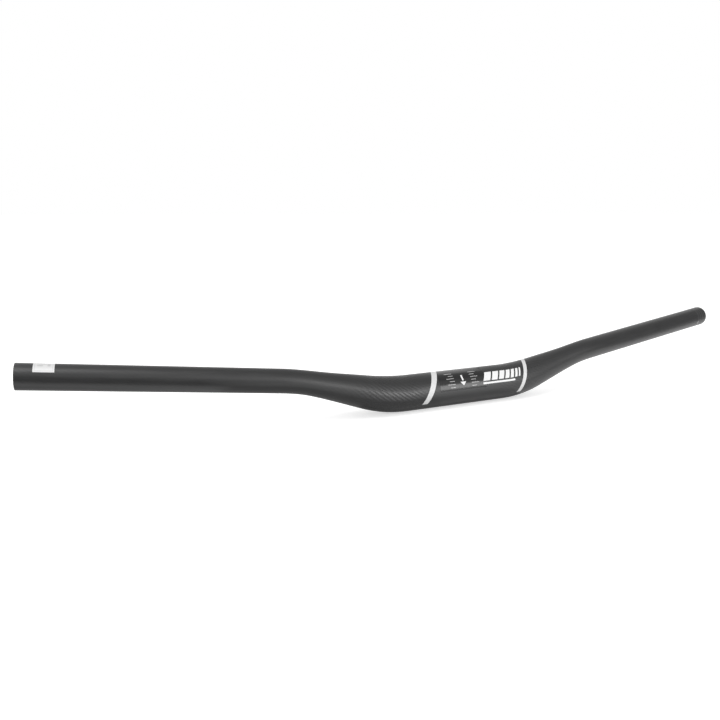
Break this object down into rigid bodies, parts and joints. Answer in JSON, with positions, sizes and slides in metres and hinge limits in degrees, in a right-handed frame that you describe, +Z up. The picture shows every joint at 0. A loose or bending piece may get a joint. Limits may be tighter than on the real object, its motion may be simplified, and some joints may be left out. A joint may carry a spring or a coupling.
{
  "type": "riser handlebar",
  "caption": "Bicycle riser handlebar: a hollow carbon tube with a thick straight clamp zone, gentle double bends, and slimmer grips swept back and up.",
  "frame": {"origin": "centre of the clamp zone, on its axis", "axes": "+X along the clamp axis, +Y back towards the rider, +Z up, as the bar is mounted"},
  "size_m": [0.7838, 0.0678, 0.0704],
  "materials": {
    "carbon": "woven carbon under a matte clear coat",
    "gloss_print": "gloss black print under the clear coat",
    "silver_print": "silver-white print",
    "label": "blank silver-white label"
  },
  "bodies": {
    "root": {"handlebar": "carbon"}
  },
  "joints": []
}
